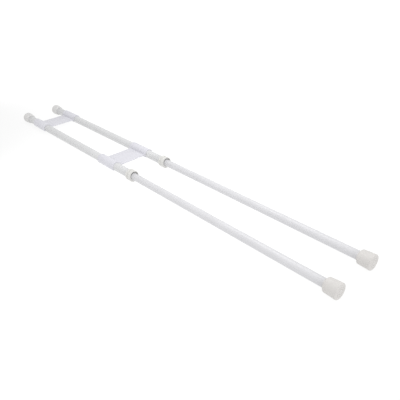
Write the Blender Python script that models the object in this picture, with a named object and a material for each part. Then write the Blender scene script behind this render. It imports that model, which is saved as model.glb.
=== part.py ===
"""Double spring-loaded tension bar.

Two telescoping rods lie side by side and are joined by two moulded clip plates. A long compression
spring in each outer tube pushes the inner tube out, so that the rubber caps press against two walls.

Frame: +X runs along the rods, from the outer tubes' caps to the inner tubes' caps, +Y from the front
rod to the back rod, and +Z up. The origin is the middle of the footprint, on the surface that the bar
lies on. The bar is drawn at its full length. All sizes are in metres.
"""

import math

import bmesh
import bpy

# The whole bar
OVERALL_LENGTH = 0.711
ROD_SPACING = 0.060
OUTER_SECTION_LENGTH = 0.370

# Tubes
OUTER_TUBE_DIAMETER = 0.0127
OUTER_TUBE_WALL = 0.0005
TUBE_GAP = 0.00065
INNER_TUBE_WALL = 0.0005

# Rubber caps, with the same body on all four ends: its walls are measured on the outer tube's cap
CAP_BODY_LENGTH = 0.0142
CAP_SHOULDER_LENGTH = 0.0020
CAP_NECK_LENGTH = 0.0010
CAP_FOOT_WALL = 0.00275
CAP_SHOULDER_WALL = 0.00195
CAP_NECK_WALL = 0.0008
CAP_FLOOR = 0.003
CAP_FOOT_ROUND = 0.0016

# Collar on the mouth of the outer tube
COLLAR_LENGTH = 0.0105
COLLAR_WALL = 0.0021
COLLAR_ROUND = 0.0007
COLLAR_GROOVE_WIDTH = 0.0012
COLLAR_GROOVE_DEPTH = 0.0004
COLLAR_MOUTH_DEPTH = 0.003
COLLAR_RIM = 0.0024
COLLAR_LIP = 0.002
COLLAR_SPIGOT_LENGTH = 0.010

# Clip plates
PLATE_WIDTH = 0.0435
PLATE_THICKNESS = 0.0015
CLIP_WALL = 0.0015
CLIP_OUTER_ARM_DEGREES = 30.0
CLIP_INNER_ARM_DEGREES = 18.0
PLATE_FILLET = 0.0015
WEB_SETBACK = 0.0018
WEB_CORNER_ROUND = 0.0015
WEB_CUT_MARGIN = 0.0005
WEB_CUT_BITE = 0.0001
PLATE_EDGE_BEVEL = 0.0004
END_PLATE_START = 0.045
MIDDLE_PLATE_TO_COLLAR = 0.035

# Pieces inside the rods
SEAT_FLANGE = 0.0015
SEAT_PLUG_LENGTH = 0.008
SEAT_SPIGOT_LENGTH = 0.007
SEAT_SPIGOT_SLACK = 0.0004
GLIDE_LENGTH = 0.020
CUP_DEPTH = 0.030
CUP_FLOOR = 0.002
CUP_FLANGE = 0.002
CUP_WALL = 0.0004
SPRING_SLACK = 0.0002
SPRING_WIRE = 0.0007
SPRING_TURNS = 36
SPRING_CLOSED_TURNS = 1.5

# Clearances
FACE_GAP = 0.0003
FIT_GAP = 0.0001
SLIDE_GAP = 0.0001

# Facets
ROUND_STEPS = 32
TURN_STEPS = 8

# Places worked out from the sizes above
LEFT_FACE = -OVERALL_LENGTH / 2
RIGHT_FACE = OVERALL_LENGTH / 2
OUTER_RADIUS = OUTER_TUBE_DIAMETER / 2
OUTER_BORE = OUTER_RADIUS - OUTER_TUBE_WALL
INNER_RADIUS = OUTER_BORE - TUBE_GAP
INNER_BORE = INNER_RADIUS - INNER_TUBE_WALL
CAP_FOOT_RADIUS = OUTER_RADIUS + FIT_GAP + CAP_FOOT_WALL
CAP_SHOULDER_RADIUS = OUTER_RADIUS + FIT_GAP + CAP_SHOULDER_WALL
CAP_LENGTH = CAP_BODY_LENGTH + CAP_SHOULDER_LENGTH + CAP_NECK_LENGTH
AXIS_HEIGHT = CAP_FOOT_RADIUS
COLLAR_MOUTH = LEFT_FACE + OUTER_SECTION_LENGTH
COLLAR_REAR = COLLAR_MOUTH - COLLAR_LENGTH
SEAT_START = LEFT_FACE + CAP_FLOOR + FACE_GAP
SEAT_SHOULDER = SEAT_START + SEAT_FLANGE
SEAT_FACE = SEAT_SHOULDER + FACE_GAP + SEAT_PLUG_LENGTH
OUTER_TUBE_START = SEAT_SHOULDER + FACE_GAP
COLLAR_LIP_BACK = COLLAR_MOUTH - COLLAR_MOUTH_DEPTH - COLLAR_LIP
OUTER_TUBE_END = COLLAR_LIP_BACK - FACE_GAP
SPIGOT_END = COLLAR_LIP_BACK - COLLAR_SPIGOT_LENGTH
GLIDE_END = SPIGOT_END - FACE_GAP
GLIDE_START = GLIDE_END - GLIDE_LENGTH
INNER_TUBE_START = GLIDE_START
INNER_TUBE_END = RIGHT_FACE - CAP_FLOOR - FACE_GAP
CUP_FRONT = INNER_TUBE_START - FACE_GAP
CUP_START = CUP_FRONT - CUP_FLANGE
CUP_BOTTOM = CUP_START + CUP_DEPTH
CUP_RADIUS = INNER_BORE - FIT_GAP
CUP_BORE = CUP_RADIUS - CUP_WALL
SPRING_START = SEAT_FACE + FACE_GAP
SPRING_END = CUP_BOTTOM - FACE_GAP
SPRING_RADIUS = CUP_BORE - SPRING_SLACK - SPRING_WIRE / 2
CLIP_BORE = OUTER_RADIUS + FIT_GAP
CLIP_RADIUS = CLIP_BORE + CLIP_WALL
FILLET_HEIGHT = PLATE_THICKNESS / 2 + PLATE_FILLET
FILLET_REACH = CLIP_RADIUS + PLATE_FILLET
FILLET_DEGREES = math.degrees(math.asin(FILLET_HEIGHT / FILLET_REACH))
MIDDLE_PLATE_START = COLLAR_REAR - MIDDLE_PLATE_TO_COLLAR - PLATE_WIDTH


def clear_scene():
    """Remove the objects that a new scene starts with."""
    for thing in list(bpy.data.objects):
        bpy.data.objects.remove(thing, do_unlink=True)


def finish(name, colour, roughness, metallic=0.0):
    """A plain material with this colour, roughness and metallic value."""
    material = bpy.data.materials.new(name)
    material.use_nodes = True
    shader = material.node_tree.nodes["Principled BSDF"]
    shader.inputs["Base Color"].default_value = (*colour, 1.0)
    shader.inputs["Roughness"].default_value = roughness
    shader.inputs["Metallic"].default_value = metallic
    return material


def arc(centre, radius, start, end, steps):
    """Points on an arc, with angles in degrees, both ends included."""
    points = []
    for step in range(steps + 1):
        angle = math.radians(start + (end - start) * step / steps)
        points.append((centre[0] + radius * math.cos(angle), centre[1] + radius * math.sin(angle)))
    return points


def add_object(name, data, material, place, parent):
    """Link an object that holds this data at this place under its parent."""
    data.materials.append(material)
    piece = bpy.data.objects.new(name, data)
    piece.parent = parent
    piece.location = place
    bpy.context.scene.collection.objects.link(piece)
    return piece


def turned(name, outline, origin, material, rod):
    """Turn an outline of (distance along X, radius) points about the rod's axis.

    The outline's distances are in the bar's frame. The piece's origin is on the axis at origin.
    A closed ring's outline doesn't touch the axis, and a solid piece's outline starts and ends on it.
    """
    shape = bmesh.new()
    corners = [shape.verts.new((along - origin, 0.0, radius)) for along, radius in outline]
    edges = [shape.edges.new(pair) for pair in zip(corners, corners[1:])]
    if outline[0][1] > 0.0:
        edges.append(shape.edges.new((corners[-1], corners[0])))
    bmesh.ops.spin(
        shape,
        geom=corners + edges,
        cent=(0.0, 0.0, 0.0),
        axis=(1.0, 0.0, 0.0),
        angle=math.tau,
        steps=ROUND_STEPS,
    )
    bmesh.ops.remove_doubles(shape, verts=shape.verts, dist=1e-6)
    bmesh.ops.recalc_face_normals(shape, faces=shape.faces)
    mesh = bpy.data.meshes.new(name)
    shape.to_mesh(mesh)
    shape.free()
    mesh.shade_smooth()
    mesh.set_sharp_from_angle(angle=math.radians(35.0))
    return add_object(name, mesh, material, (origin, 0.0, 0.0), rod)


def tube(name, start, end, radius, bore, material, rod):
    """A plain length of tube."""
    outline = [(start, bore), (start, radius), (end, radius), (end, bore)]
    return turned(name, outline, start, material, rod)


def end_cap(name, face, inward, tube_radius, material, rod):
    """A rubber cup over a tube's end: face is its outer face, inward is the way to the tube.

    Its body is a little wider at the foot, and a rounded shoulder brings it down to a short neck.
    """
    bore = tube_radius + FIT_GAP
    neck = bore + CAP_NECK_WALL
    foot_centre = (CAP_FOOT_ROUND, CAP_FOOT_RADIUS - CAP_FOOT_ROUND)
    rounding = arc(foot_centre, CAP_FOOT_ROUND, 180.0, 90.0, 3)
    shoulder = []
    for along, up in arc((0.0, 0.0), 1.0, 90.0, 0.0, 4):
        distance = CAP_BODY_LENGTH + CAP_SHOULDER_LENGTH * along
        shoulder.append((distance, neck + (CAP_SHOULDER_RADIUS - neck) * up))
    mouth = [(CAP_LENGTH, neck), (CAP_LENGTH, bore), (CAP_FLOOR, bore), (CAP_FLOOR, 0.0)]
    profile = [(0.0, 0.0), *rounding, *shoulder, *mouth]
    outline = [(face + inward * along, radius) for along, radius in profile]
    return turned(name, outline, face, material, rod)


def collar(name, material, rod):
    """The ring on the outer tube's mouth, with a lip and a spigot that guide the inner tube."""
    radius = OUTER_RADIUS + FIT_GAP + COLLAR_WALL
    socket = OUTER_RADIUS + FIT_GAP
    guide = INNER_RADIUS + SLIDE_GAP
    spigot = OUTER_BORE - FIT_GAP
    mouth = radius - COLLAR_RIM
    middle = COLLAR_MOUTH - COLLAR_LENGTH / 2
    half_groove = COLLAR_GROOVE_WIDTH / 2
    rear = arc((COLLAR_REAR + COLLAR_ROUND, radius - COLLAR_ROUND), COLLAR_ROUND, 180.0, 90.0, 2)
    front = arc((COLLAR_MOUTH - COLLAR_ROUND, radius - COLLAR_ROUND), COLLAR_ROUND, 90.0, 0.0, 2)
    outline = [
        (COLLAR_REAR, socket),
        *rear,
        (middle - half_groove, radius),
        (middle - half_groove, radius - COLLAR_GROOVE_DEPTH),
        (middle + half_groove, radius - COLLAR_GROOVE_DEPTH),
        (middle + half_groove, radius),
        *front,
        (COLLAR_MOUTH, mouth),
        (COLLAR_MOUTH - COLLAR_MOUTH_DEPTH, mouth),
        (COLLAR_MOUTH - COLLAR_MOUTH_DEPTH, guide),
        (SPIGOT_END, guide),
        (SPIGOT_END, spigot),
        (COLLAR_LIP_BACK, spigot),
        (COLLAR_LIP_BACK, socket),
    ]
    return turned(name, outline, COLLAR_MOUTH, material, rod)


def spring_seat(name, material, rod):
    """The plug that closes the outer tube, with a spigot that centres the spring."""
    spigot = SPRING_RADIUS - SPRING_WIRE / 2 - SEAT_SPIGOT_SLACK
    spigot_end = SEAT_FACE + SEAT_SPIGOT_LENGTH
    outline = [
        (SEAT_START, 0.0),
        (SEAT_START, OUTER_RADIUS),
        (SEAT_SHOULDER, OUTER_RADIUS),
        (SEAT_SHOULDER, OUTER_BORE - FIT_GAP),
        (SEAT_FACE, OUTER_BORE - FIT_GAP),
        (SEAT_FACE, spigot),
        (spigot_end, spigot),
        (spigot_end, 0.0),
    ]
    return turned(name, outline, SEAT_START, material, rod)


def spring_cup(name, material, rod):
    """The cup in the inner tube's tail: its flange sits on the tail and its floor takes the spring."""
    outline = [
        (CUP_BOTTOM, 0.0),
        (CUP_BOTTOM, CUP_BORE),
        (CUP_START, CUP_BORE),
        (CUP_START, OUTER_BORE - SLIDE_GAP),
        (CUP_FRONT, OUTER_BORE - SLIDE_GAP),
        (CUP_FRONT, CUP_RADIUS),
        (CUP_BOTTOM + CUP_FLOOR, CUP_RADIUS),
        (CUP_BOTTOM + CUP_FLOOR, 0.0),
    ]
    return turned(name, outline, CUP_START, material, rod)


def coil_distance(turn):
    """How far along the spring the wire's centre is after this many turns: the end turns lie close."""
    length = SPRING_END - SPRING_START - SPRING_WIRE
    open_turns = SPRING_TURNS - 2 * SPRING_CLOSED_TURNS
    open_pitch = (length - 2 * SPRING_CLOSED_TURNS * SPRING_WIRE * 1.1) / open_turns
    closed_pitch = SPRING_WIRE * 1.1
    first = min(turn, SPRING_CLOSED_TURNS)
    last = max(turn - SPRING_TURNS + SPRING_CLOSED_TURNS, 0.0)
    return first * closed_pitch + (turn - first - last) * open_pitch + last * closed_pitch


def spring(name, material, rod):
    """A round-wire compression spring, swept along a helix whose points follow from its turns."""
    curve = bpy.data.curves.new(name, "CURVE")
    curve.dimensions = "3D"
    curve.bevel_depth = SPRING_WIRE / 2
    curve.bevel_resolution = 0
    curve.use_fill_caps = True
    steps = SPRING_TURNS * TURN_STEPS
    wire = curve.splines.new("POLY")
    wire.points.add(steps)
    for step, point in enumerate(wire.points):
        turn = step / TURN_STEPS
        angle = math.tau * turn
        along = SPRING_WIRE / 2 + coil_distance(turn)
        point.co = (along, SPRING_RADIUS * math.cos(angle), SPRING_RADIUS * math.sin(angle), 1.0)
    return add_object(name, curve, material, (SPRING_START, 0.0, 0.0), rod)


def clip_outline():
    """The plate's section in the YZ plane: a web between two clips that are open below.

    The arms' reach below the tube's middle is given as an angle. The outer arm holds the tube, and the
    inner arm is shorter, because the web already backs it.
    """
    half = ROD_SPACING / 2
    tip_radius = CLIP_WALL / 2
    tip_centre_radius = CLIP_BORE + tip_radius
    left = -half
    fillet_across = left + FILLET_REACH * math.cos(math.radians(FILLET_DEGREES))

    def tip(angle, first, last):
        """The round end of a clip's arm, between the arm's two faces at this angle."""
        centre = (
            left + tip_centre_radius * math.cos(math.radians(angle)),
            tip_centre_radius * math.sin(math.radians(angle)),
        )
        return arc(centre, tip_radius, angle + first, angle + last, 6)[1:-1]

    outer_tip = 180.0 + CLIP_OUTER_ARM_DEGREES
    inner_tip = -CLIP_INNER_ARM_DEGREES
    top = arc((left, 0.0), CLIP_RADIUS, outer_tip, FILLET_DEGREES, 14)
    top += arc((fillet_across, FILLET_HEIGHT), PLATE_FILLET, FILLET_DEGREES + 180.0, 270.0, 3)[1:]
    under = arc((fillet_across, -FILLET_HEIGHT), PLATE_FILLET, 90.0, 180.0 - FILLET_DEGREES, 3)
    under += arc((left, 0.0), CLIP_RADIUS, -FILLET_DEGREES, inner_tip, 2)[1:]
    bore = arc((left, 0.0), CLIP_BORE, inner_tip, outer_tip, 18)
    front_end = under + tip(inner_tip, 0.0, -180.0) + bore + tip(outer_tip, 180.0, 0.0)
    mirrored_top = [(-across, up) for across, up in reversed(top)]
    mirrored_end = [(-across, up) for across, up in reversed(front_end)]
    return top + mirrored_top + mirrored_end + front_end


def web_cutter(name, edge, inward, frame):
    """A block that cuts the web back from one edge of a plate: inward is the way into the plate.

    It reaches from clip to clip and bites a little past the fillets' ends. Its inner corners are round.
    """
    root = CLIP_RADIUS * math.cos(math.radians(FILLET_DEGREES)) - WEB_CUT_BITE
    half = ROD_SPACING / 2 - root
    radius = min(WEB_CORNER_ROUND, WEB_SETBACK)
    height = FILLET_HEIGHT + WEB_CUT_MARGIN
    plan = [(-WEB_CUT_MARGIN, -half)]
    plan += arc((WEB_SETBACK - radius, radius - half), radius, -90.0, 0.0, 4)
    plan += arc((WEB_SETBACK - radius, half - radius), radius, 0.0, 90.0, 4)
    plan += [(-WEB_CUT_MARGIN, half)]
    shape = bmesh.new()
    corners = [shape.verts.new((inward * along, across, -height)) for along, across in plan]
    grown = bmesh.ops.extrude_face_region(shape, geom=[shape.faces.new(corners)])
    moved = [item for item in grown["geom"] if isinstance(item, bmesh.types.BMVert)]
    bmesh.ops.translate(shape, vec=(0.0, 0.0, 2 * height), verts=moved)
    bmesh.ops.recalc_face_normals(shape, faces=shape.faces)
    mesh = bpy.data.meshes.new(name)
    shape.to_mesh(mesh)
    shape.free()
    cutter = bpy.data.objects.new(name, mesh)
    cutter.parent = frame
    cutter.location = (edge, 0.0, 0.0)
    cutter.hide_render = True
    cutter.display_type = "WIRE"
    bpy.context.scene.collection.objects.link(cutter)
    return cutter


def clip_plate(name, start, material, frame):
    """One moulded plate that ties the two outer tubes together."""
    shape = bmesh.new()
    corners = [shape.verts.new((0.0, across, up)) for across, up in clip_outline()]
    section = shape.faces.new(corners)
    grown = bmesh.ops.extrude_face_region(shape, geom=[section])
    moved = [item for item in grown["geom"] if isinstance(item, bmesh.types.BMVert)]
    bmesh.ops.translate(shape, vec=(PLATE_WIDTH, 0.0, 0.0), verts=moved)
    bmesh.ops.recalc_face_normals(shape, faces=shape.faces)
    rims = [edge for edge in shape.edges if abs(edge.verts[0].co.x - edge.verts[1].co.x) < 1e-7]
    bmesh.ops.bevel(
        shape,
        geom=rims,
        offset=PLATE_EDGE_BEVEL,
        offset_type="OFFSET",
        segments=1,
        affect="EDGES",
        clamp_overlap=False,
    )
    mesh = bpy.data.meshes.new(name)
    shape.to_mesh(mesh)
    shape.free()
    mesh.shade_smooth()
    mesh.set_sharp_from_angle(angle=math.radians(35.0))
    plate = add_object(name, mesh, material, (start, 0.0, 0.0), frame)
    for label, edge, inward in (("left", start, 1.0), ("right", start + PLATE_WIDTH, -1.0)):
        cut = plate.modifiers.new(f"{label}_web_edge", "BOOLEAN")
        cut.operation = "DIFFERENCE"
        cut.solver = "EXACT"
        cut.object = web_cutter(f"{name}_{label}_web_cutter", edge, inward, frame)
    return plate


def axis_empty(name, across, parent):
    """An empty on a rod's axis, at the bar's mid-length."""
    empty = bpy.data.objects.new(name, None)
    empty.parent = parent
    empty.location = (0.0, across, 0.0)
    bpy.context.scene.collection.objects.link(empty)
    return empty


def build_rod(side, rod, finishes):
    """All nine pieces of one telescoping rod."""
    paint = finishes["white_paint"]
    rubber = finishes["rubber"]
    nylon = finishes["nylon"]
    tube(f"{side}_outer_tube", OUTER_TUBE_START, OUTER_TUBE_END, OUTER_RADIUS, OUTER_BORE, paint, rod)
    tube(f"{side}_inner_tube", INNER_TUBE_START, INNER_TUBE_END, INNER_RADIUS, INNER_BORE, paint, rod)
    end_cap(f"{side}_outer_cap", LEFT_FACE, 1.0, OUTER_RADIUS, rubber, rod)
    end_cap(f"{side}_inner_cap", RIGHT_FACE, -1.0, INNER_RADIUS, rubber, rod)
    collar(f"{side}_collar", finishes["collar_plastic"], rod)
    spring_seat(f"{side}_spring_seat", nylon, rod)
    spring_cup(f"{side}_spring_cup", nylon, rod)
    tube(
        f"{side}_glide_sleeve",
        GLIDE_START,
        GLIDE_END,
        OUTER_BORE - SLIDE_GAP,
        INNER_RADIUS + FIT_GAP,
        nylon,
        rod,
    )
    spring(f"{side}_spring", finishes["spring_steel"], rod)


def main():
    clear_scene()
    finishes = {
        "white_paint": finish("white_paint", (0.80, 0.80, 0.80), 0.35),
        "rubber": finish("rubber", (0.66, 0.64, 0.61), 0.65),
        "collar_plastic": finish("collar_plastic", (0.82, 0.81, 0.77), 0.40),
        "plate_plastic": finish("plate_plastic", (0.82, 0.83, 0.86), 0.40),
        "nylon": finish("nylon", (0.85, 0.84, 0.80), 0.50),
        "spring_steel": finish("spring_steel", (0.60, 0.60, 0.62), 0.30, 1.0),
    }
    frame = bpy.data.objects.new("bar_frame", None)
    frame.location = (0.0, 0.0, AXIS_HEIGHT)
    bpy.context.scene.collection.objects.link(frame)
    for side, across in (("front", -ROD_SPACING / 2), ("back", ROD_SPACING / 2)):
        build_rod(side, axis_empty(f"{side}_rod_axis", across, frame), finishes)
    clip_plate("end_plate", LEFT_FACE + END_PLATE_START, finishes["plate_plastic"], frame)
    clip_plate("middle_plate", MIDDLE_PLATE_START, finishes["plate_plastic"], frame)


main()
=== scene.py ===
# %% [markdown]
# # A double spring-loaded tension bar
# Two telescoping rods lie side by side and are held together by two clip plates. A long spring in each
# outer tube pushes the inner tube out, so that the rubber caps press on two walls or shelves. The frame
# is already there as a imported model, and this lesson dresses it: it builds the pieces that show again,
# with their real edges and details, and gives every surface a finish made of nodes.

import math

import bmesh
import bpy
from mathutils import Matrix, Vector


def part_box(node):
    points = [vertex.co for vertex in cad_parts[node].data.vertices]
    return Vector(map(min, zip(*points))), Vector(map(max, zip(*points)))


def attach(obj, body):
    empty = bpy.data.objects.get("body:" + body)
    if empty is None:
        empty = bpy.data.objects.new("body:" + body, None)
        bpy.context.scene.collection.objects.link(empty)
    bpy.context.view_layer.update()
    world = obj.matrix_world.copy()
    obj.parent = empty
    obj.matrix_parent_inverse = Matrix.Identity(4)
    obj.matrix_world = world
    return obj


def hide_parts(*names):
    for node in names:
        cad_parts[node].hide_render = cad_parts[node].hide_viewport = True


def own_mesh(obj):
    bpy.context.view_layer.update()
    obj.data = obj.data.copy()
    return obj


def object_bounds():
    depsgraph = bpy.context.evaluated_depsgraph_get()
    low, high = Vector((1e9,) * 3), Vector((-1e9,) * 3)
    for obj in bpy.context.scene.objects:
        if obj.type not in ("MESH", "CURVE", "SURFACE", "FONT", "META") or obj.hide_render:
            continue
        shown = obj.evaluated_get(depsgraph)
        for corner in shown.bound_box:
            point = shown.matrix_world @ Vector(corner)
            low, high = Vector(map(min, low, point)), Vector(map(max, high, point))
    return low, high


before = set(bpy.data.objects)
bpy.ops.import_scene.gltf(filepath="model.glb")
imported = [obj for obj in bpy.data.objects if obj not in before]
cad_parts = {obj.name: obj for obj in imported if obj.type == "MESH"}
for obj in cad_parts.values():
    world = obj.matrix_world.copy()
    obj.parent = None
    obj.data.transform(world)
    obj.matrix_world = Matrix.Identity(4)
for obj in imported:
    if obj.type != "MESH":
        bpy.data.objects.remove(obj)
cad_low, cad_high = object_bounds()
print("frame box", [round(value, 4) for value in (*cad_low, *cad_high)])

# %% [markdown]
# The camera comes first, because every later step is judged through it. It stands beyond the inner
# tubes' end and looks back along the rods from a little above, so that the caps on the right are large
# and the far end is small. It is turned a little about its own line of sight. A camera's matrix holds
# its right, up and backward directions as columns, so those three are worked out from the heading, the
# dip and the roll.

# %% The camera
CAMERA_PLACE = (0.5089, -0.3260, 0.3041)
CAMERA_HEADING = math.radians(139.79)
CAMERA_DIP = math.radians(30.96)
CAMERA_ROLL = math.radians(3.41)
CAMERA_LENS = 39.83
CAMERA_SENSOR = 36.0


def aim_camera():
    """A camera at its place, looking along its heading, dipped and rolled."""
    ahead = Vector(
        (
            math.cos(CAMERA_DIP) * math.cos(CAMERA_HEADING),
            math.cos(CAMERA_DIP) * math.sin(CAMERA_HEADING),
            -math.sin(CAMERA_DIP),
        )
    )
    level = ahead.cross(Vector((0.0, 0.0, 1.0))).normalized()
    below = ahead.cross(level)
    right = level * math.cos(CAMERA_ROLL) + below * math.sin(CAMERA_ROLL)
    down = below * math.cos(CAMERA_ROLL) - level * math.sin(CAMERA_ROLL)
    turn = Matrix((right, -down, -ahead)).transposed().to_4x4()
    lens = bpy.data.cameras.new("camera")
    lens.lens = CAMERA_LENS
    lens.sensor_width = CAMERA_SENSOR
    lens.clip_start = 0.01
    camera = bpy.data.objects.new("camera", lens)
    camera.matrix_world = Matrix.Translation(CAMERA_PLACE) @ turn
    bpy.context.scene.collection.objects.link(camera)
    bpy.context.scene.camera = camera
    return camera


camera = aim_camera()
print("camera stands at", [round(value, 3) for value in camera.location])

# %% [markdown]
# A packshot of a white object on white needs light from every side, or the object turns grey and its
# shadow says more than its shape. So the floor is a light table: a white sheet that glows about as
# brightly as it is lit and hardly shows a shadow. It has two duller spots, one in front of the far end
# and one beyond the inner caps, so the ends' lower sides are darker than the middle's. A pale sky
# lights the tops. One soft lamp hangs above the middle, one stands in front of the bar, and one looks
# along it from beyond the inner caps, so that the faces which look along the bar are lit too.

# %% The floor and the light
FLOOR_SIZE = 12.0
DULL_SPOTS = (
    {"place": (-0.42, -0.22), "From Min": 0.15, "From Max": 0.40, "To Min": 0.81, "To Max": 1.0},
    {"place": (0.50, 0.0), "From Min": 0.10, "From Max": 0.36, "To Min": 0.87, "To Max": 1.0},
)
TABLE_REFLECTION = 0.14
SKY_STRENGTH = 0.93
LAMPS = {
    "overhead_lamp": {"place": (0.10, 0.10, 0.50), "size": 0.35, "power": 1.05, "target": (0.10, 0.0, 0.0)},
    "front_lamp": {"place": (0.35, -0.55, 0.60), "size": 0.45, "power": 0.40, "target": (0.10, 0.0, 0.0)},
    "end_lamp": {"place": (1.20, -0.10, 0.15), "size": 0.50, "power": 1.9, "target": (0.0, 0.0, 0.0)},
}


def area_lamp(name, place, size, power, target):
    """A square soft light at a place, turned to a target."""
    lamp = bpy.data.lights.new(name, "AREA")
    lamp.shape = "SQUARE"
    lamp.size = size
    lamp.energy = power
    holder = bpy.data.objects.new(name, lamp)
    holder.location = place
    holder.rotation_mode = "QUATERNION"
    holder.rotation_quaternion = (Vector(target) - Vector(place)).to_track_quat("-Z", "Y")
    bpy.context.scene.collection.objects.link(holder)
    return holder


def lay_light_table():
    """A glowing white sheet at the height that the bar lies on."""
    corners = [(-1.0, -1.0), (1.0, -1.0), (1.0, 1.0), (-1.0, 1.0)]
    mesh = bpy.data.meshes.new("light_table")
    half = FLOOR_SIZE / 2
    mesh.from_pydata([(x * half, y * half, cad_low.z) for x, y in corners], [], [(0, 1, 2, 3)])
    sheet = bpy.data.materials.new("white_acrylic_sheet")
    sheet.use_nodes = True
    tree = sheet.node_tree
    shader = tree.nodes["Principled BSDF"]
    shader.inputs["Base Color"].default_value = (TABLE_REFLECTION,) * 3 + (1.0,)
    shader.inputs["Roughness"].default_value = 0.9
    shader.inputs["Specular IOR Level"].default_value = 0.0
    shader.inputs["Emission Color"].default_value = (1.0, 1.0, 1.0, 1.0)
    spot_on_sheet = tree.nodes.new("ShaderNodeTexCoord").outputs["Object"]
    glow = tree.nodes.new("ShaderNodeMath")
    glow.operation = "MULTIPLY"
    for socket, spot in enumerate(DULL_SPOTS):
        away = tree.nodes.new("ShaderNodeVectorMath")
        away.operation = "DISTANCE"
        tree.links.new(spot_on_sheet, away.inputs[0])
        away.inputs[1].default_value = (*spot["place"], cad_low.z)
        fade = tree.nodes.new("ShaderNodeMapRange")
        fade.interpolation_type = "SMOOTHSTEP"
        for name in ("From Min", "From Max", "To Min", "To Max"):
            fade.inputs[name].default_value = spot[name]
        tree.links.new(away.outputs["Value"], fade.inputs["Value"])
        tree.links.new(fade.outputs["Result"], glow.inputs[socket])
    tree.links.new(glow.outputs["Value"], shader.inputs["Emission Strength"])
    mesh.materials.append(sheet)
    table = bpy.data.objects.new("light_table", mesh)
    bpy.context.scene.collection.objects.link(table)
    return table


sky = bpy.data.worlds.new("sky")
sky.use_nodes = True
sky.node_tree.nodes["Background"].inputs["Color"].default_value = (1.0, 1.0, 1.0, 1.0)
sky.node_tree.nodes["Background"].inputs["Strength"].default_value = SKY_STRENGTH
bpy.context.scene.world = sky
bpy.context.scene.view_settings.view_transform = "Standard"
lay_light_table()
for name, settings in LAMPS.items():
    area_lamp(name, **settings)
print(len(LAMPS), "lamps over a light table at", round(cad_low.z, 4))

# %% [markdown]
# The pieces take their places from the frame. Each rod's axis, and where each piece starts and ends
# along it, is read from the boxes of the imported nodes, so those sizes are not written a second time.

# %% Places along the rods
SIDES = ("front", "back")


def span(node):
    """The lowest and highest distance along the bar that a node reaches."""
    low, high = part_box(node)
    return low.x, high.x


def axis_of(side):
    """A rod's distance across the bar and its height."""
    low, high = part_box(f"{side}_outer_tube")
    return (low.y + high.y) / 2, (low.z + high.z) / 2


def radius_of(node):
    """Half of a round node's height."""
    low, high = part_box(node)
    return (high.z - low.z) / 2


TUBE_WALL = 0.0005
OUTER_RADIUS = radius_of("front_outer_tube")
INNER_RADIUS = radius_of("front_inner_tube")
for side in SIDES:
    print(side, "axis", [round(value, 4) for value in axis_of(side)])
print("tube radii", round(OUTER_RADIUS, 5), round(INNER_RADIUS, 5))

# %% [markdown]
# A finish is a small node tree. Real white parts are never one flat white: paint has a faint orange
# peel, rubber is dusty and a little mottled, and moulded plastic shows where it flowed. All the patterns
# read Object coordinates in metres, so their scale is the real one. One helper lays the nodes out, and
# each finish then says only what is its own.

# %% Helpers for finishes


def start_finish(name):
    """A new node material. Returns it, its tree, its shader and its Object coordinates."""
    material = bpy.data.materials.new(name)
    material.use_nodes = True
    tree = material.node_tree
    place = tree.nodes.new("ShaderNodeTexCoord").outputs["Object"]
    return material, tree, tree.nodes["Principled BSDF"], place


def stretched(tree, place, along, across):
    """Coordinates scaled along the rods and across them, so that a pattern becomes streaks."""
    mapping = tree.nodes.new("ShaderNodeMapping")
    mapping.inputs["Scale"].default_value = (along, across, across)
    tree.links.new(place, mapping.inputs["Vector"])
    return mapping.outputs["Vector"]


def noise(tree, place, scale, detail=2.0, roughness=0.5):
    """A noise pattern's value, with scale in waves for each metre."""
    pattern = tree.nodes.new("ShaderNodeTexNoise")
    pattern.inputs["Scale"].default_value = scale
    pattern.inputs["Detail"].default_value = detail
    pattern.inputs["Roughness"].default_value = roughness
    tree.links.new(place, pattern.inputs["Vector"])
    return pattern.outputs["Fac"]


def remap(tree, value, low, high, to_low, to_high):
    """A value from one range brought to another, and held inside it."""
    node = tree.nodes.new("ShaderNodeMapRange")
    for socket, number in (
        ("From Min", low),
        ("From Max", high),
        ("To Min", to_low),
        ("To Max", to_high),
    ):
        node.inputs[socket].default_value = number
    tree.links.new(value, node.inputs["Value"])
    return node.outputs["Result"]


def tint(tree, value, low_colour, high_colour):
    """A colour between two, by a value from 0 to 1."""
    node = tree.nodes.new("ShaderNodeMix")
    node.data_type = "RGBA"
    node.inputs["A"].default_value = (*low_colour, 1.0)
    node.inputs["B"].default_value = (*high_colour, 1.0)
    tree.links.new(value, node.inputs["Factor"])
    return node.outputs["Result"]


def blend_colours(tree, value, first, second_colour):
    """A colour socket that fades to a plain colour, by a value from 0 to 1."""
    node = tree.nodes.new("ShaderNodeMix")
    node.data_type = "RGBA"
    tree.links.new(first, node.inputs["A"])
    node.inputs["B"].default_value = (*second_colour, 1.0)
    tree.links.new(value, node.inputs["Factor"])
    return node.outputs["Result"]


def times(tree, first, second):
    """Two values multiplied."""
    node = tree.nodes.new("ShaderNodeMath")
    node.operation = "MULTIPLY"
    tree.links.new(first, node.inputs[0])
    tree.links.new(second, node.inputs[1])
    return node.outputs["Value"]


def along_bar(tree, place):
    """The distance along the bar of a point on a surface."""
    split = tree.nodes.new("ShaderNodeSeparateXYZ")
    tree.links.new(place, split.inputs["Vector"])
    return split.outputs["X"]


RUB_GREY = (0.50, 0.50, 0.51)


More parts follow.
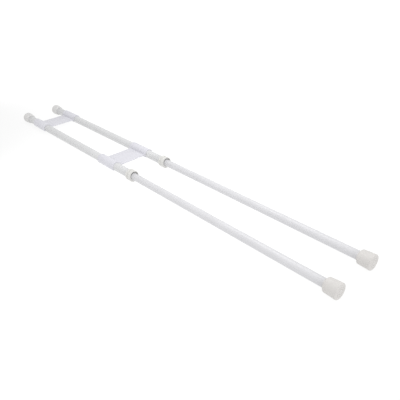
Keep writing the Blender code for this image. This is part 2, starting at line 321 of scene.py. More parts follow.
def rubbed(tree, place, colour, bands):
    """A colour socket with patchy grey rubbing in bands: pairs of distances along the bar."""
    along = along_bar(tree, place)
    patches = remap(tree, noise(tree, place, 420.0, 3.0), 0.48, 0.66, 0.0, 0.35)
    for start, end in bands:
        band = tree.nodes.new("ShaderNodeMath")
        band.operation = "COMPARE"
        band.inputs[1].default_value = (start + end) / 2
        band.inputs[2].default_value = (end - start) / 2
        tree.links.new(along, band.inputs[0])
        share = times(tree, band.outputs["Value"], patches)
        colour = blend_colours(tree, share, colour, RUB_GREY)
    return colour


def bumpy(tree, shader, height, distance):
    """Give a shader small hills: distance is their height in metres."""
    node = tree.nodes.new("ShaderNodeBump")
    node.inputs["Strength"].default_value = 1.0
    node.inputs["Distance"].default_value = distance
    tree.links.new(height, node.inputs["Height"])
    tree.links.new(node.outputs["Normal"], shader.inputs["Normal"])


# %% [markdown]
# The tubes are steel with a baked white powder coat: hard, half glossy, with an orange peel whose
# waves are about a millimetre apart. Sliding in and out has left fine grey lines along the inner tube
# and a rubbed ring near the collar. Stretching the noise along X turns its blobs into such lines.

# %% Powder coat
MARK_GREY = (0.56, 0.56, 0.57)


def powder_coat(name, body, shade, streak_depth, bands):
    """White powder coat, with slide marks of some depth and rubbed rings in some bands."""
    material, tree, shader, place = start_finish(name)
    clouds = remap(tree, noise(tree, place, 38.0, 3.0), 0.35, 0.65, 0.0, 1.0)
    colour = tint(tree, clouds, body, shade)
    lines = noise(tree, stretched(tree, place, 6.0, 2600.0), 1.0, 3.0)
    marks = remap(tree, lines, 0.60, 0.78, 0.0, streak_depth)
    colour = blend_colours(tree, marks, colour, MARK_GREY)
    colour = rubbed(tree, place, colour, bands)
    tree.links.new(colour, shader.inputs["Base Color"])
    gloss = remap(tree, noise(tree, place, 160.0, 2.0), 0.3, 0.7, 0.30, 0.42)
    tree.links.new(gloss, shader.inputs["Roughness"])
    bumpy(tree, shader, noise(tree, place, 900.0, 2.0), 0.000006)
    return material


collar_mouth = span("front_collar")[1]
outer_paint = powder_coat(
    "outer_tube_powder_coat",
    (0.608, 0.610, 0.615),
    (0.585, 0.587, 0.594),
    0.25,
    [(cad_low.x + 0.040, cad_low.x + 0.045)],
)
inner_paint = powder_coat(
    "inner_tube_powder_coat",
    (0.622, 0.620, 0.638),
    (0.600, 0.598, 0.616),
    0.55,
    [(collar_mouth + 0.001, collar_mouth + 0.010)],
)
print("finishes", outer_paint.name, inner_paint.name)

# %% [markdown]
# The caps are a soft off-white rubber. It is matt, a little mottled, finely pitted like the mould, and it
# picks up dust and grey scuffs where it presses on a wall, which is at the two ends of the bar. The caps
# have two bores. Those on the outer tubes are painted lighter, as painted light for the dimmer far end;
# those on the inner tubes are warmer and a bit darker.

# %% Rubber
SCUFF_GREY = (0.47, 0.46, 0.45)
SCUFF_REACH = 0.0015


def soft_rubber(name, body, shade):
    """Off-white rubber, scuffed grey near both ends of the bar."""
    material, tree, shader, place = start_finish(name)
    mottle = remap(tree, noise(tree, place, 140.0, 4.0), 0.3, 0.7, 0.0, 1.0)
    colour = tint(tree, mottle, body, shade)
    along = along_bar(tree, place)
    reach = tree.nodes.new("ShaderNodeMath")
    reach.operation = "ABSOLUTE"
    tree.links.new(along, reach.inputs[0])
    foot = remap(tree, reach.outputs["Value"], cad_high.x - SCUFF_REACH, cad_high.x, 0.0, 1.0)
    scuffs = remap(tree, noise(tree, place, 620.0, 4.0, 0.7), 0.46, 0.64, 0.0, 0.30)
    colour = blend_colours(tree, times(tree, foot, scuffs), colour, SCUFF_GREY)
    tree.links.new(colour, shader.inputs["Base Color"])
    dull = remap(tree, noise(tree, place, 300.0, 2.0), 0.3, 0.7, 0.52, 0.68)
    tree.links.new(dull, shader.inputs["Roughness"])
    shader.inputs["Sheen Weight"].default_value = 0.08
    bumpy(tree, shader, noise(tree, place, 2600.0, 3.0, 0.6), 0.000008)
    return material


# The outer caps' rubber is painted lighter than the inner caps': painted light that makes up for the dimmer
# far end of the bar.
cap_rubbers = {
    "outer": soft_rubber("outer_cap_rubber_painted_lighter", (0.632, 0.627, 0.622), (0.604, 0.599, 0.594)),
    "inner": soft_rubber("inner_cap_rubber", (0.605, 0.588, 0.572), (0.575, 0.558, 0.543)),
}
print("finishes", *(finish.name for finish in cap_rubbers.values()))

# %% [markdown]
# The collars and the plates are moulded plastic. The collars are a creamier white than the cool white
# plates. A moulded face is smooth, with faint streaks where the melt flowed and a slight satin. Handling
# rubs the edges at a piece's two ends first, so a narrow band there is patchy and greyer.

# %% Moulded plastic
EDGE_BAND = 0.0005
GRIME_DARKENING = 0.86


def end_bands(nodes):
    """The narrow bands at both ends of some nodes, where handling rubs them."""
    bands = []
    for node in nodes:
        start, end = span(node)
        bands += [(start, start + EDGE_BAND), (end - EDGE_BAND, end)]
    return bands


def moulded_plastic(name, body, shade, low_gloss, high_gloss, bands):
    """Satin plastic with faint flow streaks and a trace of grime, rubbed in some bands."""
    material, tree, shader, place = start_finish(name)
    flow = noise(tree, stretched(tree, place, 60.0, 22.0), 1.0, 3.0)
    colour = tint(tree, remap(tree, flow, 0.35, 0.65, 0.0, 1.0), body, shade)
    grime = remap(tree, noise(tree, place, 240.0, 5.0, 0.65), 0.60, 0.78, 0.0, 0.15)
    colour = blend_colours(tree, grime, colour, tuple(part * GRIME_DARKENING for part in shade))
    colour = rubbed(tree, place, colour, bands)
    tree.links.new(colour, shader.inputs["Base Color"])
    gloss = remap(tree, noise(tree, place, 90.0, 3.0), 0.3, 0.7, low_gloss, high_gloss)
    tree.links.new(gloss, shader.inputs["Roughness"])
    bumpy(tree, shader, noise(tree, place, 1500.0, 2.0), 0.000004)
    return material


collar_plastic = moulded_plastic(
    "collar_plastic",
    (0.645, 0.640, 0.620),
    (0.620, 0.615, 0.595),
    0.30,
    0.42,
    end_bands(["front_collar"]),
)
plate_plastic = moulded_plastic(
    "plate_plastic",
    (0.628, 0.625, 0.670),
    (0.608, 0.605, 0.650),
    0.34,
    0.46,
    end_bands(["end_plate", "middle_plate"]),
)
nylon = moulded_plastic(
    "natural_nylon",
    (0.76, 0.75, 0.70),
    (0.70, 0.69, 0.64),
    0.35,
    0.50,
    end_bands(["front_glide_sleeve"]),
)
print("finishes", collar_plastic.name, plate_plastic.name, nylon.name)

# %% [markdown]
# The spring is drawn steel wire with a thin bright zinc. Its die lines run along the wire, and a film of
# grease makes its gloss uneven.

# %% Spring steel
def spring_wire_steel(name):
    """Zinc-bright steel wire with an uneven film of grease."""
    material, tree, shader, place = start_finish(name)
    clouds = remap(tree, noise(tree, place, 500.0, 3.0), 0.3, 0.7, 0.0, 1.0)
    colour = tint(tree, clouds, (0.62, 0.62, 0.63), (0.50, 0.50, 0.52))
    tree.links.new(colour, shader.inputs["Base Color"])
    gloss = remap(tree, noise(tree, place, 900.0, 2.0), 0.3, 0.7, 0.22, 0.42)
    tree.links.new(gloss, shader.inputs["Roughness"])
    shader.inputs["Metallic"].default_value = 1.0
    bumpy(tree, shader, noise(tree, place, 6000.0, 2.0), 0.00001)
    return material


spring_steel = spring_wire_steel("spring_steel")
print("finish", spring_steel.name)

# %% [markdown]
# Geometry Nodes suit what follows a rule. Three small helpers keep each tree short: one makes a tree
# with named inputs, one adds a node and sets its plain values, and one runs a tree and keeps the result
# as a plain mesh, because the model that leaves this script holds no modifiers.

# %% Helpers for geometry trees
GROWN_SHARP = 32.0
MOULDED_SHARP = 40.0
KINDS = {
    "length": "NodeSocketFloat",
    "count": "NodeSocketInt",
    "material": "NodeSocketMaterial",
}


def new_tree(name, inputs):
    """A geometry tree with one named input for each size. Returns the tree and its input sockets."""
    tree = bpy.data.node_groups.new(name, "GeometryNodeTree")
    for label, kind in inputs:
        tree.interface.new_socket(label, in_out="INPUT", socket_type=KINDS[kind])
    tree.interface.new_socket("Geometry", in_out="OUTPUT", socket_type="NodeSocketGeometry")
    return tree, tree.nodes.new("NodeGroupInput").outputs


def add_node(tree, kind, links=(), **settings):
    """A node with its settings, and with links or plain numbers on its inputs."""
    node = tree.nodes.new(kind)
    for key, value in settings.items():
        setattr(node, key, value)
    for socket, source in links:
        if isinstance(source, bpy.types.NodeSocket):
            tree.links.new(source, node.inputs[socket])
        else:
            node.inputs[socket].default_value = source
    return node


def calculate(tree, operation, first, second=0.0):
    """One step of arithmetic on sockets or numbers."""
    return add_node(
        tree, "ShaderNodeMath", [(0, first), (1, second)], operation=operation
    ).outputs["Value"]


def end_tree(tree, geometry, material):
    """Close a tree: its instances become real geometry and take their material."""
    real = add_node(tree, "GeometryNodeRealizeInstances", [("Geometry", geometry)])
    painted = add_node(
        tree,
        "GeometryNodeSetMaterial",
        [("Geometry", real.outputs["Geometry"]), ("Material", material)],
    )
    add_node(tree, "NodeGroupOutput", [("Geometry", painted.outputs["Geometry"])])


def grow(name, tree, sizes):
    """Run a tree with these sizes and keep the result as a plain mesh object."""
    seed = bpy.data.objects.new(name + "_seed", bpy.data.meshes.new(name + "_seed"))
    bpy.context.scene.collection.objects.link(seed)
    modifier = seed.modifiers.new("tree", "NODES")
    modifier.node_group = tree
    for socket in tree.interface.items_tree:
        if socket.in_out == "INPUT":
            modifier[socket.identifier] = sizes[socket.name]
    ready = seed.evaluated_get(bpy.context.evaluated_depsgraph_get())
    mesh = bpy.data.meshes.new_from_object(ready)
    bpy.data.objects.remove(seed)
    mesh.name = name
    piece = bpy.data.objects.new(name, mesh)
    bpy.context.scene.collection.objects.link(piece)
    return piece


def settle(piece, body, nodes, sharp_degrees=GROWN_SHARP):
    """Smooth a finished piece between its sharp edges, and hand it to its CAD body and nodes."""
    piece.data.shade_smooth()
    piece.data.set_sharp_from_angle(angle=math.radians(sharp_degrees))
    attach(piece, body)
    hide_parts(*nodes)
    print(piece.name, len(piece.data.polygons), "faces on", body)


# %% [markdown]
# A tube's wall, cut along the tube, is a long thin rectangle. Its corners are broken by the deburring
# tool, which Fillet Curve does in one step. Curve to Mesh then carries the rectangle round a circle, and
# a quarter turn lays the tube along the bar. The same tree makes the outer tubes, the inner tubes and
# the glide sleeves.

# %% The tube tree
ROUND_SIDES = 72


def plant_tube_tree():
    """A length of tube along X with broken edges."""
    tree, given = new_tree(
        "tube_from_its_wall",
        [
            ("Start", "length"),
            ("Length", "length"),
            ("Radius", "length"),
            ("Wall", "length"),
            ("Broken Edge", "length"),
            ("Across", "length"),
            ("Height", "length"),
            ("Sides", "count"),
            ("Finish", "material"),
        ],
    )
    wall = add_node(
        tree,
        "GeometryNodeCurvePrimitiveQuadrilateral",
        [("Width", given["Wall"]), ("Height", given["Length"])],
    )
    broken = add_node(
        tree,
        "GeometryNodeFilletCurve",
        [("Curve", wall.outputs["Curve"]), ("Count", 2), ("Radius", given["Broken Edge"])],
        mode="POLY",
    )
    half_wall = calculate(tree, "MULTIPLY", given["Wall"], 0.5)
    ring = add_node(
        tree,
        "GeometryNodeCurvePrimitiveCircle",
        [
            ("Resolution", given["Sides"]),
            ("Radius", calculate(tree, "SUBTRACT", given["Radius"], half_wall)),
        ],
    )
    swept = add_node(
        tree,
        "GeometryNodeCurveToMesh",
        [("Curve", ring.outputs["Curve"]), ("Profile Curve", broken.outputs["Curve"])],
    )
    half_length = calculate(tree, "MULTIPLY", given["Length"], 0.5)
    centre = add_node(
        tree,
        "ShaderNodeCombineXYZ",
        [
            ("X", calculate(tree, "ADD", given["Start"], half_length)),
            ("Y", given["Across"]),
            ("Z", given["Height"]),
        ],
    )
    laid = add_node(
        tree,
        "GeometryNodeTransform",
        [
            ("Geometry", swept.outputs["Mesh"]),
            ("Rotation", (0.0, math.pi / 2, 0.0)),
            ("Translation", centre.outputs["Vector"]),
        ],
    )
    end_tree(tree, laid.outputs["Geometry"], given["Finish"])
    return tree


tube_tree = plant_tube_tree()
print("tube tree has", len(tube_tree.nodes), "nodes")

# %% [markdown]
# Each rod gets its tubes. The outer tube belongs to the outer frame, and the inner tube turns and slides
# with its own body.

# %% The tubes and the glide sleeves
BROKEN_EDGE = 0.00015
SLEEVE_FIT = 0.0001
SLEEVE_WALL = radius_of("front_glide_sleeve") - INNER_RADIUS - SLEEVE_FIT


def lay_tube(name, node, wall, paint, side):
    """A tube in the place of a CAD node."""
    start, end = span(node)
    across, height = axis_of(side)
    sizes = {
        "Start": start,
        "Length": end - start,
        "Radius": radius_of(node),
        "Wall": wall,
        "Broken Edge": BROKEN_EDGE,
        "Across": across,
        "Height": height,
        "Sides": ROUND_SIDES,
        "Finish": paint,
    }
    return grow(name, tube_tree, sizes)


for side in SIDES:
    outer = lay_tube(f"{side}_painted_outer_tube", f"{side}_outer_tube", TUBE_WALL, outer_paint, side)
    settle(outer, "outer_frame", [f"{side}_outer_tube"])
    inner = lay_tube(f"{side}_painted_inner_tube", f"{side}_inner_tube", TUBE_WALL, inner_paint, side)
    settle(inner, f"{side}_inner_rod", [f"{side}_inner_tube"])
    sleeve = lay_tube(f"{side}_nylon_sleeve", f"{side}_glide_sleeve", SLEEVE_WALL, nylon, side)
    settle(sleeve, f"{side}_slider", [f"{side}_glide_sleeve"])

# %% [markdown]
# A compression spring follows a rule too: the wire's angle grows evenly, while its distance along the
# rod grows slowly in the closed end turns and quickly between them. A line of points numbered by Index
# is bent into that helix, and a round wire is carried along it.

# %% The spring tree
WIRE_RADIUS = 0.00035
SPRING_TURNS = 36
CLOSED_TURNS = 1.5
STEPS_PER_TURN = 20
WIRE_SIDES = 8
CLOSED_PITCH = 2.2 * WIRE_RADIUS
CLOSED_LENGTH = 2.0 * CLOSED_TURNS * CLOSED_PITCH


def plant_spring_tree():
    """A helix along X whose end turns lie close, swept with round wire."""
    tree, given = new_tree(
        "spring_from_its_turns",
        [
            ("Start", "length"),
            ("Length", "length"),
            ("Coil Radius", "length"),
            ("Wire Radius", "length"),
            ("Across", "length"),
            ("Height", "length"),
            ("Turns", "count"),
            ("Finish", "material"),
        ],
    )
    steps = calculate(tree, "MULTIPLY", given["Turns"], float(STEPS_PER_TURN))
    line = add_node(
        tree,
        "GeometryNodeMeshLine",
        [("Count", calculate(tree, "ADD", steps, 1.0))],
    )
    index = add_node(tree, "GeometryNodeInputIndex").outputs["Index"]
    turn = calculate(tree, "DIVIDE", index, float(STEPS_PER_TURN))
    first = calculate(tree, "MINIMUM", turn, CLOSED_TURNS)
    late = calculate(tree, "SUBTRACT", calculate(tree, "ADD", turn, CLOSED_TURNS), given["Turns"])
    last = calculate(tree, "MAXIMUM", late, 0.0)
    between = calculate(tree, "SUBTRACT", calculate(tree, "SUBTRACT", turn, first), last)
    open_turns = calculate(tree, "SUBTRACT", given["Turns"], 2.0 * CLOSED_TURNS)
    wire = calculate(tree, "MULTIPLY", given["Wire Radius"], 2.0)
    wire_centres = calculate(tree, "SUBTRACT", given["Length"], wire)
    open_length = calculate(tree, "SUBTRACT", wire_centres, CLOSED_LENGTH)
    pitch = calculate(tree, "DIVIDE", open_length, open_turns)
    closed = calculate(tree, "MULTIPLY", calculate(tree, "ADD", first, last), CLOSED_PITCH)
    along = calculate(tree, "ADD", closed, calculate(tree, "MULTIPLY", between, pitch))
    along = calculate(tree, "ADD", calculate(tree, "ADD", along, given["Start"]), given["Wire Radius"])
    angle = calculate(tree, "MULTIPLY", turn, math.tau)
    across = calculate(tree, "MULTIPLY", calculate(tree, "COSINE", angle), given["Coil Radius"])
    up = calculate(tree, "MULTIPLY", calculate(tree, "SINE", angle), given["Coil Radius"])
    point = add_node(
        tree,
        "ShaderNodeCombineXYZ",
        [
            ("X", along),
            ("Y", calculate(tree, "ADD", across, given["Across"])),
            ("Z", calculate(tree, "ADD", up, given["Height"])),
        ],
    )
    bent = add_node(
        tree,
        "GeometryNodeSetPosition",
        [("Geometry", line.outputs["Mesh"]), ("Position", point.outputs["Vector"])],
    )
    path = add_node(tree, "GeometryNodeMeshToCurve", [("Mesh", bent.outputs["Geometry"])])
    section = add_node(
        tree,
        "GeometryNodeCurvePrimitiveCircle",
        [("Resolution", WIRE_SIDES), ("Radius", given["Wire Radius"])],
    )
    swept = add_node(
        tree,
        "GeometryNodeCurveToMesh",
        [
            ("Curve", path.outputs["Curve"]),
            ("Profile Curve", section.outputs["Curve"]),
            ("Fill Caps", True),
        ],
    )
    end_tree(tree, swept.outputs["Mesh"], given["Finish"])
    return tree


spring_tree = plant_spring_tree()
print("spring tree has", len(spring_tree.nodes), "nodes")

# %% [markdown]
# One spring lies in each outer tube, between its seat and the inner tube's cup. When the rod is pushed
# in, the spring is squashed towards its seat until its turns almost touch. The share of its length that
# is left then comes from the slide's own travel.

# %% The springs
for side in SIDES:
    start, end = span(f"{side}_spring")
    across, height = axis_of(side)
    sizes = {
        "Start": start,
        "Length": end - start,
        "Coil Radius": radius_of(f"{side}_spring") - WIRE_RADIUS,
        "Wire Radius": WIRE_RADIUS,
        "Across": across,
        "Height": height,
        "Turns": SPRING_TURNS,
        "Finish": spring_steel,
    }
    coil = grow(f"{side}_spring_wire", spring_tree, sizes)
    settle(coil, "outer_frame", [f"{side}_spring"])
    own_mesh(coil)

# %% [markdown]
# Caps and collars are round, so each is one outline turned about the rod's axis. Only its outline
# differs: a list of distances along the bar and radii. Rounded corners are short arcs in that list,
# which cost little and catch the light as a moulded edge does.

# %% Turning a round piece
MERGE_DISTANCE = 1e-6


def arc(centre, radius, first, last, steps):
    """Points on an arc from one angle to another, in degrees."""
    points = []
    for step in range(steps + 1):
        angle = math.radians(first + (last - first) * step / steps)
        points.append((centre[0] + radius * math.cos(angle), centre[1] + radius * math.sin(angle)))
    return points


def turned_piece(name, outline, side, finish):
    """Turn an outline of (distance along the bar, radius) points about a rod's axis."""
    across, height = axis_of(side)
    shape = bmesh.new()
    corners = [shape.verts.new((along, 0.0, radius)) for along, radius in outline]
    edges = [shape.edges.new(pair) for pair in zip(corners, corners[1:])]
    if outline[0][1] > 0.0:
        edges.append(shape.edges.new((corners[-1], corners[0])))
    bmesh.ops.spin(
        shape,
        geom=corners + edges,
        cent=(0.0, 0.0, 0.0),
        axis=(1.0, 0.0, 0.0),
        angle=math.tau,
        steps=ROUND_SIDES,
    )
    bmesh.ops.remove_doubles(shape, verts=shape.verts, dist=MERGE_DISTANCE)
    bmesh.ops.recalc_face_normals(shape, faces=shape.faces)
    bmesh.ops.translate(shape, vec=(0.0, across, height), verts=shape.verts)
    mesh = bpy.data.meshes.new(name)
    shape.to_mesh(mesh)
    shape.free()
    mesh.materials.append(finish)
    piece = bpy.data.objects.new(name, mesh)
    bpy.context.scene.collection.objects.link(piece)
    return piece


# %% [markdown]
# A cap is a thick rubber cup pushed over the tube's end. Its foot corner is well rounded, its body
# tapers a little towards the tube, and a round shoulder, a quarter of an ellipse, brings it down to a
# short neck that grips the tube. Two shallow rings on the foot keep it from slipping on the wall.

# %% The rubber caps
CAP_FOOT_ROUND = 0.0016
CAP_SHOULDER_RADIUS = 0.0084
CAP_SHOULDER_LENGTH = 0.0020
CAP_NECK_LENGTH = 0.0010
CAP_NECK_WALL = 0.0009
CAP_NECK_ROUND = 0.0003
CAP_FLOOR = 0.003
CAP_SNUG = 0.00003
RING_RADII = (0.0030, 0.0054)
RING_HALF_WIDTH = 0.00030
RING_FLOOR_HALF = 0.00012
RING_DEPTH = 0.00025


def cap_outline(face, inward, length, foot, tube_radius):
    """A cap's outline, from the middle of its foot round to the middle of its inside."""
    bore = tube_radius + CAP_SNUG
    neck = tube_radius + CAP_NECK_WALL
    body_end = length - CAP_SHOULDER_LENGTH - CAP_NECK_LENGTH
    points = [(0.0, 0.0)]
    for ring in RING_RADII:
        points += [
            (0.0, ring - RING_HALF_WIDTH),
            (RING_DEPTH, ring - RING_FLOOR_HALF),
            (RING_DEPTH, ring + RING_FLOOR_HALF),
            (0.0, ring + RING_HALF_WIDTH),
        ]
    points += arc((CAP_FOOT_ROUND, foot - CAP_FOOT_ROUND), CAP_FOOT_ROUND, 180.0, 90.0, 8)
    for along, up in arc((0.0, 0.0), 1.0, 90.0, 0.0, 10):
        distance = body_end + CAP_SHOULDER_LENGTH * along
        points.append((distance, neck + (CAP_SHOULDER_RADIUS - neck) * up))
    points += arc((length - CAP_NECK_ROUND, neck - CAP_NECK_ROUND), CAP_NECK_ROUND, 90.0, 0.0, 3)
    points += [(length, bore), (CAP_FLOOR, bore), (CAP_FLOOR, 0.0)]
    return [(face + inward * along, radius) for along, radius in points]


for side in SIDES:
    for end_name, tube_radius, body in (
        ("outer", OUTER_RADIUS, "outer_frame"),
        ("inner", INNER_RADIUS, f"{side}_inner_rod"),
    ):
        node = f"{side}_{end_name}_cap"
        low, high = span(node)
        face, inward = (low, 1.0) if end_name == "outer" else (high, -1.0)
        outline = cap_outline(face, inward, high - low, radius_of(node), tube_radius)
        cap = turned_piece(f"{side}_{end_name}_rubber_cap", outline, side, cap_rubbers[end_name])
        settle(cap, body, [node], MOULDED_SHARP)

# %% [markdown]
# The collar closes the gap between the two tubes. It is a ring with a groove round it, a deep mouth, a
# lip that the inner tube slides through, and a spigot that plugs into the outer tube. The mouth is a
# loose hole, and the tube rests low in it and to one side, so the gap shows as a dark crescent above
# the tube. The ring is turned like the caps, and then only the mouth's points are shifted a little.

# %% The collars
COLLAR_LENGTH = 0.0105
COLLAR_ROUND = 0.0007
COLLAR_GROOVE_WIDTH = 0.0012
COLLAR_GROOVE_DEPTH = 0.0004
COLLAR_MOUTH_DEPTH = 0.003
COLLAR_RIM = 0.0024
COLLAR_MOUTH_SHIFT = {"y": 0.00074, "z": 0.00055}
COLLAR_LIP = 0.002
COLLAR_SOCKET_FIT = 0.0001
SPIGOT_FIT = 0.0001
GUIDE_GAP = 0.00005
RIM_ROUND = 0.0003
GROOVE_CHAMFER = 0.0001
SPIGOT_CHAMFER = 0.0002
POINT_MARGIN = 0.0001


def collar_outline(side):
    """A collar's outline, from its socket's edge over the ring and the mouth to the spigot."""
    spigot_end, mouth_face = span(f"{side}_collar")
    radius = radius_of(f"{side}_collar")
    lip_back = mouth_face - COLLAR_MOUTH_DEPTH - COLLAR_LIP
    rear = mouth_face - COLLAR_LENGTH
    middle = (rear + mouth_face) / 2
    groove_half = COLLAR_GROOVE_WIDTH / 2
    socket = OUTER_RADIUS + COLLAR_SOCKET_FIT
    spigot = OUTER_RADIUS - TUBE_WALL - SPIGOT_FIT
    guide = INNER_RADIUS + GUIDE_GAP
    mouth = radius - COLLAR_RIM
    groove_floor = radius - COLLAR_GROOVE_DEPTH
    return [
        (rear, socket),
        *arc((rear + COLLAR_ROUND, radius - COLLAR_ROUND), COLLAR_ROUND, 180.0, 90.0, 5),
        (middle - groove_half - GROOVE_CHAMFER, radius),
        (middle - groove_half, radius - GROOVE_CHAMFER),
        (middle - groove_half, groove_floor),
        (middle + groove_half, groove_floor),
        (middle + groove_half, radius - GROOVE_CHAMFER),
        (middle + groove_half + GROOVE_CHAMFER, radius),
        *arc((mouth_face - COLLAR_ROUND, radius - COLLAR_ROUND), COLLAR_ROUND, 90.0, 0.0, 5),
        *arc((mouth_face - RIM_ROUND, mouth + RIM_ROUND), RIM_ROUND, 0.0, -90.0, 4),
        (mouth_face - COLLAR_MOUTH_DEPTH, mouth),
        (mouth_face - COLLAR_MOUTH_DEPTH, guide),
        (spigot_end, guide),
        (spigot_end, spigot - SPIGOT_CHAMFER),
        (spigot_end + SPIGOT_CHAMFER, spigot),
        (lip_back, spigot),
        (lip_back, socket),
    ]


def shift_mouth(ring, side):
    """Shift the points of a collar's mouth, which are the ones inside its rim and in front of its lip."""
    across, height = axis_of(side)
    mouth_face = span(f"{side}_collar")[1]
    lip_face = mouth_face - COLLAR_MOUTH_DEPTH
    rim = radius_of(f"{side}_collar") - COLLAR_ROUND - POINT_MARGIN
    guide = INNER_RADIUS + 2 * GUIDE_GAP
    for vertex in ring.data.vertices:
        radius = math.hypot(vertex.co.y - across, vertex.co.z - height)
        if vertex.co.x > lip_face - POINT_MARGIN and guide < radius < rim:
            vertex.co.y += COLLAR_MOUTH_SHIFT["y"]
            vertex.co.z += COLLAR_MOUTH_SHIFT["z"]


for side in SIDES:
    ring = turned_piece(f"{side}_moulded_collar", collar_outline(side), side, collar_plastic)
    shift_mouth(ring, side)
    settle(ring, "outer_frame", [f"{side}_collar"], MOULDED_SHARP)

# %% [markdown]
# The plates hold the two rods side by side. Each is one moulding: a thin web between two clips that are
# open below, so that it snaps over both tubes from above. Its section is drawn once in the plane across
# the bar and drawn out to the clips' length.

# %% The plates' section
CLIP_FIT = 0.0001
CLIP_SNUG = 0.00003
CLIP_WALL = 0.0015
CLIP_OUTER_ARM = 30.0
CLIP_INNER_ARM = 18.0
PLATE_THICKNESS = 0.0015
PLATE_FILLET = 0.0015
CLIP_RADIUS = OUTER_RADIUS + CLIP_FIT + CLIP_WALL
FILLET_HEIGHT = PLATE_THICKNESS / 2 + PLATE_FILLET
FILLET_REACH = CLIP_RADIUS + PLATE_FILLET
FILLET_ANGLE = math.degrees(math.asin(FILLET_HEIGHT / FILLET_REACH))


def clip_section():
    """The plate's outline across the bar: a web between two clips that are open below."""
    left, height = axis_of("front")
    bore = OUTER_RADIUS + CLIP_SNUG
    tip_radius = (CLIP_RADIUS - bore) / 2
    fillet_across = left + FILLET_REACH * math.cos(math.radians(FILLET_ANGLE))

    def tip(angle, first, last):
        """The round end of an arm, between the arm's two faces at this angle."""
        middle = bore + tip_radius
        spot = (left + middle * math.cos(math.radians(angle)), middle * math.sin(math.radians(angle)))
        return arc(spot, tip_radius, angle + first, angle + last, 8)[1:-1]

    outer_tip = 180.0 + CLIP_OUTER_ARM
    inner_tip = -CLIP_INNER_ARM
    top = arc((left, 0.0), CLIP_RADIUS, outer_tip, FILLET_ANGLE, 36)
    top += arc((fillet_across, FILLET_HEIGHT), PLATE_FILLET, FILLET_ANGLE + 180.0, 270.0, 6)[1:]
    under = arc((fillet_across, -FILLET_HEIGHT), PLATE_FILLET, 90.0, 180.0 - FILLET_ANGLE, 6)
    under += arc((left, 0.0), CLIP_RADIUS, -FILLET_ANGLE, inner_tip, 3)[1:]
    inside = arc((left, 0.0), bore, inner_tip, outer_tip, 48)
    end = under + tip(inner_tip, 0.0, -180.0) + inside + tip(outer_tip, 180.0, 0.0)
    outline = top + [(-y, z) for y, z in reversed(top)]
    outline += [(-y, z) for y, z in reversed(end)] + end
    return [(y, z + height) for y, z in outline]


section = clip_section()
print("the plates' section has", len(section), "corners")

# %% [markdown]
# The web is a little narrower than the clips are long. Two blocks with round inner corners cut it back,
# one from each edge, with Boolean modifiers. The edges are then rounded in mesh code, all but the clips'
# inner edges: those stay crisp, because they close tightly round the tubes and would show as a dark line.

# %% The plates
WEB_SETBACK = 0.0018
WEB_CORNER_ROUND = 0.0015
WEB_CUT_MARGIN = 0.0005
WEB_CUT_BITE = 0.0001
PLATE_ROUND = 0.00035
SHARP_EDGE_DEGREES = 50.0
BORE_BAND = 0.00045


def drawn_out(name, outline, way):
    """A closed prism: an outline of points, drawn out along a vector."""
    shape = bmesh.new()
    face = shape.faces.new([shape.verts.new(point) for point in outline])
    grown = bmesh.ops.extrude_face_region(shape, geom=[face])
    moved = [item for item in grown["geom"] if isinstance(item, bmesh.types.BMVert)]
    bmesh.ops.translate(shape, vec=way, verts=moved)
    bmesh.ops.recalc_face_normals(shape, faces=shape.faces)
    mesh = bpy.data.meshes.new(name)
    shape.to_mesh(mesh)
    shape.free()
    prism = bpy.data.objects.new(name, mesh)
    bpy.context.scene.collection.objects.link(prism)
    return prism


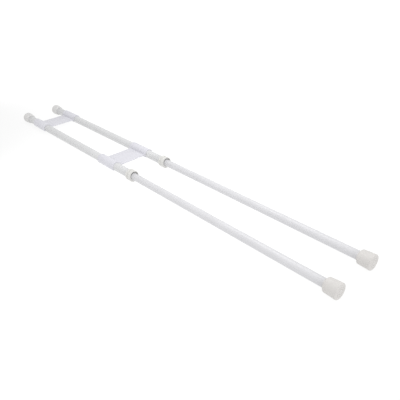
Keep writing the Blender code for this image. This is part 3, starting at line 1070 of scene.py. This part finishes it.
def web_cutter(edge, inward):
    """A block that cuts the web back from one edge of a plate: inward is the way into the plate."""
    height = axis_of("front")[1]
    root = CLIP_RADIUS * math.cos(math.radians(FILLET_ANGLE)) - WEB_CUT_BITE
    half = -axis_of("front")[0] - root
    inner = WEB_SETBACK - WEB_CORNER_ROUND
    plan = [(-WEB_CUT_MARGIN, -half)]
    plan += arc((inner, WEB_CORNER_ROUND - half), WEB_CORNER_ROUND, -90.0, 0.0, 8)
    plan += arc((inner, half - WEB_CORNER_ROUND), WEB_CORNER_ROUND, 0.0, 90.0, 8)
    plan += [(-WEB_CUT_MARGIN, half)]
    reach = FILLET_HEIGHT + WEB_CUT_MARGIN
    outline = [(edge + inward * along, across, height - reach) for along, across in plan]
    return drawn_out("web_cutter", outline, (0.0, 0.0, 2 * reach))


def on_bore(vertex):
    """Whether a point lies on the inside of a clip."""
    across, height = axis_of("front")
    reach = math.hypot(abs(vertex.co.y) + across, vertex.co.z - height)
    return reach < OUTER_RADIUS + BORE_BAND


def moulded_plate(name, node):
    """The section drawn out to a plate's length, with its web cut back and its edges rounded."""
    start, end = span(node)
    blank = drawn_out(name, [(start, y, z) for y, z in section], (end - start, 0.0, 0.0))
    cutters = [web_cutter(start, 1.0), web_cutter(end, -1.0)]
    for cutter in cutters:
        cut = blank.modifiers.new("web_edge", "BOOLEAN")
        cut.operation = "DIFFERENCE"
        cut.solver = "EXACT"
        cut.object = cutter
    ready = blank.evaluated_get(bpy.context.evaluated_depsgraph_get())
    mesh = bpy.data.meshes.new_from_object(ready)
    for spare in (blank, *cutters):
        bpy.data.objects.remove(spare)
    shape = bmesh.new()
    shape.from_mesh(mesh)
    sharp = [
        edge
        for edge in shape.edges
        if edge.is_manifold
        and edge.calc_face_angle() > math.radians(SHARP_EDGE_DEGREES)
        and not (on_bore(edge.verts[0]) and on_bore(edge.verts[1]))
    ]
    bmesh.ops.bevel(
        shape,
        geom=sharp,
        offset=PLATE_ROUND,
        offset_type="OFFSET",
        segments=3,
        profile=0.5,
        affect="EDGES",
        clamp_overlap=False,
    )
    shape.to_mesh(mesh)
    shape.free()
    mesh.name = name
    mesh.materials.clear()
    mesh.materials.append(plate_plastic)
    piece = bpy.data.objects.new(name, mesh)
    bpy.context.scene.collection.objects.link(piece)
    return piece


for node in ("end_plate", "middle_plate"):
    plate = moulded_plate(f"moulded_{node}", node)
    settle(plate, "outer_frame", [node], MOULDED_SHARP)

# %% [markdown]
# The spring seat and the spring cup stay as the frame has them, because they are plain turned nylon
# inside the rods. They only take the nylon finish.

# %% The pieces that stay
for side in SIDES:
    for kept in ("spring_seat", "spring_cup"):
        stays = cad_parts[f"{side}_{kept}"]
        for material_slot in stays.material_slots:
            material_slot.material = nylon
        print(stays.name, "takes", nylon.name)
